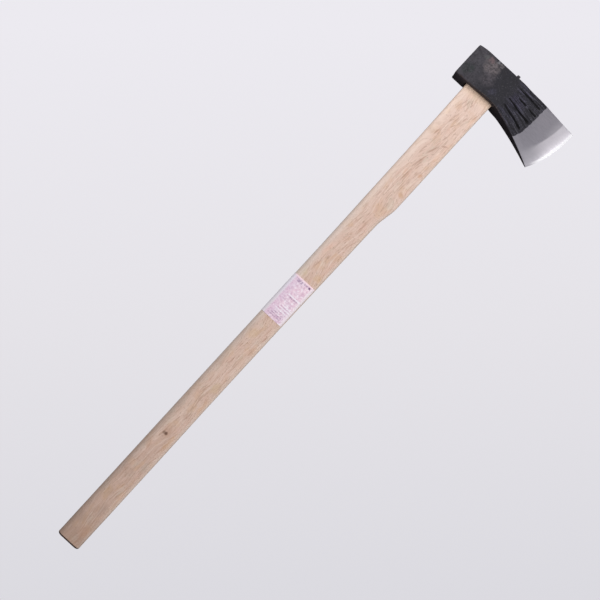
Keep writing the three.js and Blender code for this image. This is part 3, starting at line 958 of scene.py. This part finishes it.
def head_material(name):
    """Forge scale over the eye and poll, then ground iron, then the cutting steel, painted brighter partly
    as reflection.
    """
    material = Material(name)
    own = material.stored("own")
    along, height, carved = material.stored("head").split()
    x, _, _ = own.split()
    below_crown = along.band(0.69, 0.71).blend(height.band(0.996, 0.984), height.band(0.9984, 0.9964))
    cheek = height.band(0.004, 0.016) * below_crown
    # where the scale was ground away from the cheeks
    ragged = own.noise(0.2, 4, 0.6).band(0.3, 0.7, -0.0035, 0.0035)
    past = along - (height.band(0.05, 0.9, 0.736, 0.703) + ragged)
    ground = past.band(-0.002, 0.004) * cheek
    # black scale with patches, two of them painted highlights on the crown arris, spots, pits and a rusty
    # arris
    fine = own.noise(0.45, 4, 0.65)
    wobble = own.wobble(0.12, 12)
    broken = own.shift((3, 8, 5)).noise(0.3, 4, 0.6).band(0.36, 0.56, 0.35, 1.0)
    patches = [
        (own.spot(centre, radii, wobble) * broken * amount, tone)
        for centre, radii, amount, tone in SCALE_PATCHES
    ]
    arris = height.band(0.01, 0.018) * height.band(0.036, 0.024) * x.band(66, 20)
    scale = x.band(0, -34).mix(SCALE_DARK, SCALE_LIGHT).under([
        (own.noise(0.09, 5, 0.6).band(0.3, 0.7, 0, 0.4), (42, 41, 47)),
        *patches,
        (own.shift((31, 7, 3)).noise(0.16, 3, 0.6).band(0.52, 0.66, 0, 0.55), (38, 36, 40)),
        (fine.band(0.54, 0.7, 0, 0.42), (98, 96, 102)),
        (own.shift((13, 5, 9)).noise(0.4, 3, 0.6).band(0.52, 0.68, 0, 0.55), (26, 25, 29)),
        (arris * fine.band(0.4, 0.6, 0.05, 0.5), (96, 72, 54)),
    ])
    # streaks and specks that the hammer drew out towards the edge, a painted shadow along the crown's edge,
    # darker unworn scale with painted shade off the cheeks, and near-black in the chiselled lines
    drawn_out = x.band(22, 42)
    fanned = own.add("ShaderNodeCombineXYZ", {0: x, 1: height})
    streaks = fanned.noise((0.045, 30, 0), 1, 0.5).band(0.5, 0.64)
    crown_painted_shade = height.band(0.945, 0.962) * height.band(0.994, 0.98) * x.band(38, 56)
    specks = own.shift((5, 2, 8)).noise(0.62, 2, 0.5).band(0.54, 0.66)
    dark_streaks = fanned.stretch(0.05, 42, 0).shift((3, 7, 5)).noise(1.0, 1, 0.5).band(0.52, 0.62)
    crust = own.noise(0.5, 6, 0.65)
    off_cheek_scale_and_shade = crust.band(0.4, 0.65).mix((24, 20, 25), (52, 45, 51))
    scale = scale.under([
        (streaks * drawn_out * 0.6, x.band(50, 68).mix((84, 81, 100), (74, 73, 79))),
        (crown_painted_shade * 0.75, (14, 12, 17)),
        (specks * drawn_out * 0.5, (92, 89, 103)),
        (dark_streaks * drawn_out * 0.8, (15, 14, 18)),
        # darker unworn scale and painted shade on the faces off the cheeks, lighter towards the poll
        (cheek * -0.85 + 0.85, x.band(-12, -34, 0, 0.6).mix(off_cheek_scale_and_shade, (66, 61, 67))),
        (carved.band(0.04, 0.26), (4, 3, 7)),
    ])
    # ground iron, with scratches square to the edge
    scratch = own.noise((0.06, 2.4, 0.4), 4, 0.7)
    lines = own.noise((0.015, 0.9, 0.2), 3, 0.6)
    iron = height.band(0.95, 0.3).mix(IRON_UPPER, IRON_LOWER).under([
        (height.band(0.2, 0.04, 0, 0.5), (166, 163, 170)),
        (own.noise(0.035, 3, 0.5).band(0.35, 0.65, 0, 0.25), (150, 147, 154)),
        (scratch.band(0.3, 0.7, 0, 0.4), (112, 109, 116)),
        (along.band(0.82, 0.885) * height.band(0.45, 0.85) * 0.5, (182, 178, 184)),
    ])
    # steel, past a weld that shows sharply at the toe and softly at the heel, lighter towards the edge and
    # the top partly as painted reflection, and its bevel, painted near-white and less metallic as a
    # highlight
    weld_at = height.band(0.35, 1.0, STEEL_START - 0.003, STEEL_START + 0.009)
    past_weld = (along - weld_at) / height.band(0.1, 0.5, 0.07, 0.012)
    steel = along.ramp(STEEL_TONES_AND_SHEEN).under([
        (height.band(0.55, 0.95, 0, 0.35), (234, 230, 235)),
        (height.band(0.62, 0.14), STEEL_HEEL),
        (height.band(0.1, 0.0, 0, 0.5), IRON_LOWER),
        (scratch.band(0.3, 0.75, 0, 0.12), (176, 172, 180)),
    ])
    bevel = along.band(0.976, 0.988) * height.band(0.05, 0.4)
    metal = iron.under([(past_weld.band(-0.6, 0.6), steel), (bevel, (253, 252, 254))])
    colour = ground.mix(scale, metal)
    roughness = ground.blend(fine.band(0.3, 0.7, 0.58, 0.75), lines.band(0.3, 0.7, 0.34, 0.46))
    metallic = ground * bevel.blend(0.95, 0.3)
    relief = ground.blend(crust, scratch * 0.12)
    return material.finish(colour, roughness, relief, 0.3, 0.7, metallic, specular=0.22)


def oak_material():
    """Pale oak, planed along the grain, with one knot."""
    material = Material("pale_oak")
    own = material.stored("own")
    x, y, z = own.split()
    # the grain wanders and swerves round the knot, and rings lie round the pith
    swerve = own.spot(KNOT, (13, 34, 12)) * ((x - KNOT[0]) * -0.35)
    drift = own.noise((0.02, 0.009, 0.02), 2, 0.5)
    sway = drift.band(0.25, 0.75, -7, 7) + swerve
    bent = own.add("ShaderNodeCombineXYZ", {0: x + sway, 1: y, 2: z})
    from_pith = bent.stretch(1, 0, 1).shift((-PITH[0], 0, -PITH[1])).length()
    ring = (from_pith / RING_WIDTH).math("FRACT")
    late = ring.band(0.25, 0.8) * ring.band(1.0, 0.9)
    early = ring.band(0.35, 0.05)
    # tones from the greyer butt to the lighter wood by the head, partly painted light falloff, with clouds,
    # pale streaks, dark strokes, fibres, late wood, pores and flecks
    up = y / CROWN_Y
    clouds = []
    for k, (across, lengthwise, low, high, amount, tone) in enumerate(OAK_CLOUDS):
        place = bent.stretch(across, lengthwise, across).shift((5.3 * k, 2.7 * k, 1.9 * k))
        clouds.append((place.noise(1.0, 3, 0.55).band(low, high, 0, amount), tone))
    fibres = bent.noise((2.2, 0.06, 2.2), 4, 0.65)
    pores = bent.noise((3.0, 0.16, 3.0), 2, 0.6).band(0.6, 0.72) * (early + 0.4)
    grained = up.ramp(OAK_TONES).under([
        *clouds,
        (bent.noise((0.42, 0.02, 0.42), 3, 0.6).band(0.48, 0.64, 0, 0.42), (240, 219, 206)),
        (bent.noise((0.62, 0.062, 0.62), 2, 0.5).band(0.54, 0.66, 0, 0.5), (178, 144, 122)),
        (fibres.band(0.42, 0.75, 0, 0.22), (188, 154, 134)),
        (late * 0.14, (190, 148, 124)),
        (pores * 0.5, (130, 98, 78)),
        (bent.noise((0.8, 0.24, 0.8), 1, 0.5).band(0.62, 0.7, 0, 0.45), (158, 130, 110)),
    ])
    # marks of this piece of wood: tan and grey patches, single strokes of dark grain, and the knot
    wobble = own.wobble(0.11, 7)
    waver = own.wobble(0.12, 1.6)
    marks = []
    for mark_x, mark_y, wide, long, amount, tone in OAK_PATCHES:
        patch = own.spot((mark_x, mark_y, NEAR_FACE_Z), (wide, long, 7), wobble)
        marks.append((patch * amount, tone))
    for x0, y0, x1, y1, width, amount in OAK_STROKES:
        stroke = own.stroke((x0, y0), (x1, y1), width, waver)
        marks.append((stroke * amount, (172, 136, 118)))
    halo = own.spot((KNOT[0] + 1.5, KNOT[1] + 3, KNOT[2]), (8, 10, 7), wobble)
    marks.append((halo * 0.4, (190, 150, 126)))
    for centre, radii, amount in KNOT_HEARTS:
        marks.append((own.spot(centre, radii, own.wobble(0.3, 1.2)) * amount, (92, 60, 42)))
    # painted shade on the wood at the label's front edge
    label_edge_shade = y.within(*LABEL_Y, 1) * x.band(12.6, 13.4) * z.band(9.5, 11.5)
    tone = grained.under(marks).under([
        # painted light and shade along the back arris, painted highlights on the back edge by the head and
        # on the front arris, and painted shade on the wood at the label's edge
        (x.band(-9, -18.5, 0, 0.5), up.ramp(BACK_PAINTED_SHADING)),
        (x.band(-20, -21.6, 0, 0.45) * y.band(640, 560), (228, 216, 208)),
        (x.band(7, 13) * z.band(14, 11) * 0.55, (250, 228, 212)),
        (label_edge_shade * 0.6, (208, 198, 194)),
        # darker wood by the butt, partly grime and partly painted light falloff, painted shade on its
        # rounded rim, and its end grain
        (y.band(120, 2) * 0.38, (160, 132, 116)),
        (y.band(3.6, 2.4) * 0.95, (52, 36, 28)),
        (y.band(0.9, 0.35), (late * 0.6).mix((150, 118, 96), (112, 82, 62))),
        # the tenon's top, painted light on the wood below the head where its shadow falls, and a dark line
        # under the head, partly soaked-in dirt and partly painted shade
        (y.band(CROWN_Y - 1.5, CROWN_Y) * 0.4, (150, 112, 84)),
        (y.band(UNDERSIDE_Y - 16, UNDERSIDE_Y - 3) * 0.6, (255, 222, 192)),
        (y.band(UNDERSIDE_Y - 2, UNDERSIDE_Y - 0.3) * 0.6, (104, 70, 46)),
    ])
    relief = fibres * 0.5 - pores * 0.9
    return material.finish(tone, fibres.band(0.3, 0.7, 0.6, 0.75), relief, 0.12, 0.6, specular=0.3)


def wedge_wood_material():
    """Darker hardwood, seen on its hammered end grain."""
    material = Material("wedge_hardwood")
    own = material.stored("own")
    bands = own.noise((0.5, 0.03, 2.2), 4, 0.6)
    pores = own.noise(1.9, 3, 0.6)
    tone = bands.band(0.35, 0.65).mix((150, 110, 78), (118, 80, 54))
    tone = pores.band(0.58, 0.7, 0, 0.7).mix(tone, (70, 46, 32))
    return material.finish(tone, bands.band(0.3, 0.7, 0.6, 0.8), pores, 0.3, 0.7)


def wedge_steel_material():
    """Dark rolled steel with a brighter hammered top and a little rust."""
    material = Material("wedge_steel")
    own = material.stored("own")
    _, y, _ = own.split()
    mottle = own.noise(0.35, 4, 0.6)
    rust = own.noise(0.6, 5, 0.7)
    colour = mottle.band(0.35, 0.65).mix((44, 43, 47), (66, 63, 68))
    colour = rust.band(0.55, 0.7, 0, 0.6).mix(colour, (104, 70, 52))
    struck = y.band(CROWN_Y + 1.5, CROWN_Y + 9) * mottle.band(0.45, 0.65)
    colour = (struck * 0.6).mix(colour, (128, 126, 132))
    return material.finish(colour, mottle.band(0.3, 0.7, 0.38, 0.62), rust, 0.4, 0.8, metallic=0.7)


def label_material():
    """Thin matt paper printed in pink and lilac, with plain bars and dots where print would be."""
    material = Material("label_paper")
    own = material.stored("own")
    x, y, z = own.split()
    cloud = own.noise((0.09, 0.07, 0.09), 3, 0.6)
    grain = own.noise(0.3, 3, 0.65)
    near = z.band(9, 12)
    colour = cloud.band(0.38, 0.62).mix((242, 213, 226), (237, 217, 230)).under([
        (own.shift((9, 4, 2)).noise(0.14, 3, 0.6, 1.5).band(0.5, 0.66, 0, 0.55), (216, 178, 206)),
        (grain.band(0.5, 0.64, 0, 0.6), (208, 172, 194)),
        (grain.band(0.46, 0.35, 0, 0.85), (252, 243, 250)),
        (x.band(-5, -12, 0, 0.4), (216, 188, 212)),
        # painted light on the back corner, where the label curves away, and a painted highlight on the front
        # corner
        (x.band(-16, -19.5), y.band(430, 480).mix((238, 230, 236), (242, 234, 246))),
        (x.band(8.5, 11.5, 0, 0.85), (250, 238, 242)),
    ])
    # painted light on the label's sides and far face
    colour = near.mix((246, 240, 248), colour)
    for y0, y1, x0, x1, ink, amount, broken in LABEL_BARS:
        mask = y.within(y0, y1, 0.3) * x.within(x0, x1, 0.4)
        if broken > 0:
            mask = mask * own.noise((broken, 0.3, 0.0), 1, 0.5).band(0.42, 0.5)
        colour = (mask * near * amount).mix(colour, ink)
    fibre = own.noise(1.4, 4, 0.6)
    return material.finish(colour, fibre.band(0.3, 0.7, 0.5, 0.65), fibre, 0.05, 0.5)


# ------------ pieces


def cut_bar(piece, stations):
    """Cuts a tapered bar out of a piece."""
    combine(piece, mesh_object("bar", *loft(taper_rings(stations))), "DIFFERENCE")


def build_head():
    body = mesh_object("axe_head_body", *head_blank())
    steel = new_object("axe_cutting_steel", body.data.copy())
    combine(steel, steel_space(0.0), "INTERSECT")
    combine(body, steel_space(STEEL_CLEARANCE), "DIFFERENCE")
    combine(body, eye_cutter(), "DIFFERENCE")
    finish_piece(body, "head_body", head_material("forged_head"))
    finish_piece(steel, "cutting_steel", head_material("cutting_steel"))


def build_handle_and_wedges():
    handle = mesh_object("axe_handle", *handle_body())
    wooden = mesh_object("axe_wooden_wedge", *wooden_wedge_body())
    front = mesh_object("axe_front_wedge", *front_wedge_body())
    crossing = mesh_object("axe_cross_wedge", *cross_wedge_body())
    cut_bar(handle, [kerf_station(y) for y in (KERF_BOTTOM_Y, TENON_TOP_Y + 2)])
    cut_bar(handle, [front_wedge_station(y, 0.1) for y in (FRONT_WEDGE[0] - 1, CROWN_Y, CROWN_Y + 4)])
    cross_space = [cross_wedge_station(y, 0.05) for y in (CROSS_WEDGE[0] - 1, CROSS_WEDGE[1] + 2)]
    cut_bar(handle, cross_space)
    cut_bar(wooden, cross_space)
    steel = wedge_steel_material()
    finish_piece(handle, "handle", oak_material())
    finish_piece(wooden, "wooden_wedge", wedge_wood_material())
    finish_piece(front, "steel_wedge_front", steel)
    finish_piece(crossing, "steel_wedge_cross", steel)


def build_label():
    label = mesh_object("axe_paper_label", *label_body())
    finish_piece(label, "paper_label", label_material())


# ------------ stage, light and camera

CAMERA_OVER = (8.3, 466.7)  # the point of the axe under the lens, mm
CAMERA_DISTANCE = 1830  # from the middle of the axe's thickness, mm
VIEW_WIDTH = 840  # what the camera takes in at that distance, mm
SENSOR_WIDTH = 36
CAMERA_TURN = math.radians(42.64)  # how far the camera's right is turned from +X towards +Y
FLOOR_HALF = 16  # metres
FLOOR_STEPS = 64
FLOOR_LEVEL_TO = 5  # metres from the axe, where the floor starts to curve up
FLOOR_LIGHTENS = (-0.6774, 0.7356)  # the direction in which the floor gets lighter
FLOOR_TONES = [
    # how far that way, from 0 to 1 over a metre
    (0.1, (219, 218, 224)),
    (0.5, (229, 227, 232)),
    (0.92, (236, 234, 240)),
]
SKY_LEVELS = [
    # from 0 straight down to 1 straight up, with the horizon at 0.5
    (0.44, 0.04),
    (0.5, 0.24),
    (0.675, 0.5),
]


def direction(vector):
    """A direction in the axe's axes, in the frame."""
    return Vector(np.asarray(vector, float) @ AXES)


def make_camera():
    data = bpy.data.cameras.new("camera")
    data.sensor_width = SENSOR_WIDTH
    data.lens = SENSOR_WIDTH * CAMERA_DISTANCE / VIEW_WIDTH
    camera = new_object("camera", data)
    right = direction((math.cos(CAMERA_TURN), math.sin(CAMERA_TURN), 0))
    up = direction((-math.sin(CAMERA_TURN), math.cos(CAMERA_TURN), 0))
    back = direction((0, 0, 1))
    turn = Matrix((right, up, back)).transposed().to_4x4()
    place = Vector(to_frame((*CAMERA_OVER, CAMERA_DISTANCE)))
    camera.matrix_world = Matrix.Translation(place) @ turn
    bpy.context.scene.camera = camera


def make_floor():
    """A pale floor that curves up into a wall far from the axe. It glows by itself and neither lights
    nor shades the axe, so that it stays even and pale."""
    grid = np.linspace(-FLOOR_HALF, FLOOR_HALF, FLOOR_STEPS + 1)
    xs, ys = np.meshgrid(grid, grid, indexing="ij")
    rise = 0.12 * np.maximum(np.hypot(xs, ys) - FLOOR_LEVEL_TO, 0) ** 2
    points = np.stack([xs, ys, rise], -1).reshape(-1, 3)
    row = FLOOR_STEPS + 1
    corners = [i * row + j for i in range(FLOOR_STEPS) for j in range(FLOOR_STEPS)]
    faces = [[a, a + row, a + row + 1, a + 1] for a in corners]
    mesh = bpy.data.meshes.new("floor")
    mesh.from_pydata(points.tolist(), [], faces)
    floor = new_object("floor", mesh)
    material = Material("pale_floor")
    x, y, _ = add_node(material.tree, "ShaderNodeTexCoord", {}, "Object").split()
    way = x * FLOOR_LIGHTENS[0] + y * FLOOR_LIGHTENS[1]
    set_input(material.surface, "Emission Color", (way + 0.5).ramp(FLOOR_TONES))
    set_input(material.surface, "Emission Strength", 1.0)
    mesh.materials.append(material.finish((0.0, 0.0, 0.0, 1), 0.9, specular=0.0))
    mesh.shade_smooth()
    for ray in ("glossy", "diffuse", "shadow"):
        setattr(floor, "visible_" + ray, False)


def make_light(name, towards, distance, size, power, aim, colour=(1, 1, 1)):
    """A soft rectangular light, in a direction of the axe's axes from what it is aimed at."""
    data = bpy.data.lights.new(name, "AREA")
    data.shape = "RECTANGLE"
    data.size, data.size_y = size
    data.energy = power
    data.color = colour
    light = new_object(name, data)
    light.visible_camera = False
    way = direction(towards).normalized()
    light.location = Vector(to_frame(aim)) + way * distance
    light.rotation_euler = way.to_track_quat("Z", "Y").to_euler()


def make_lights():
    world = bpy.data.worlds.new("studio")
    bpy.context.scene.world = world
    world.use_nodes = True
    tree = world.node_tree
    _, _, z = add_node(tree, "ShaderNodeTexCoord", {}, "Generated").split()
    upwards = z.add("ShaderNodeMapRange", {"Value": z, "From Min": -1}, "Result")
    sky = upwards.ramp([(place, (level, level, level * 1.04, 1)) for place, level in SKY_LEVELS])
    set_input(tree.nodes["Background"], "Color", sky)
    set_input(tree.nodes["Background"], "Strength", 1.0)
    make_light("key", (-0.32, 0.42, 0.85), 1.25, (1.0, 0.8), 9.5, (20, 780, 0), (1, 0.985, 0.97))
    make_light("side", (1, 0.05, 0.5), 1.3, (0.9, 1.5), 5, (20, 620, 0))


make_camera()
make_lights()
make_floor()
build_head()
build_handle_and_wedges()
build_label()

bpy.context.scene.view_settings.view_transform = "Standard"
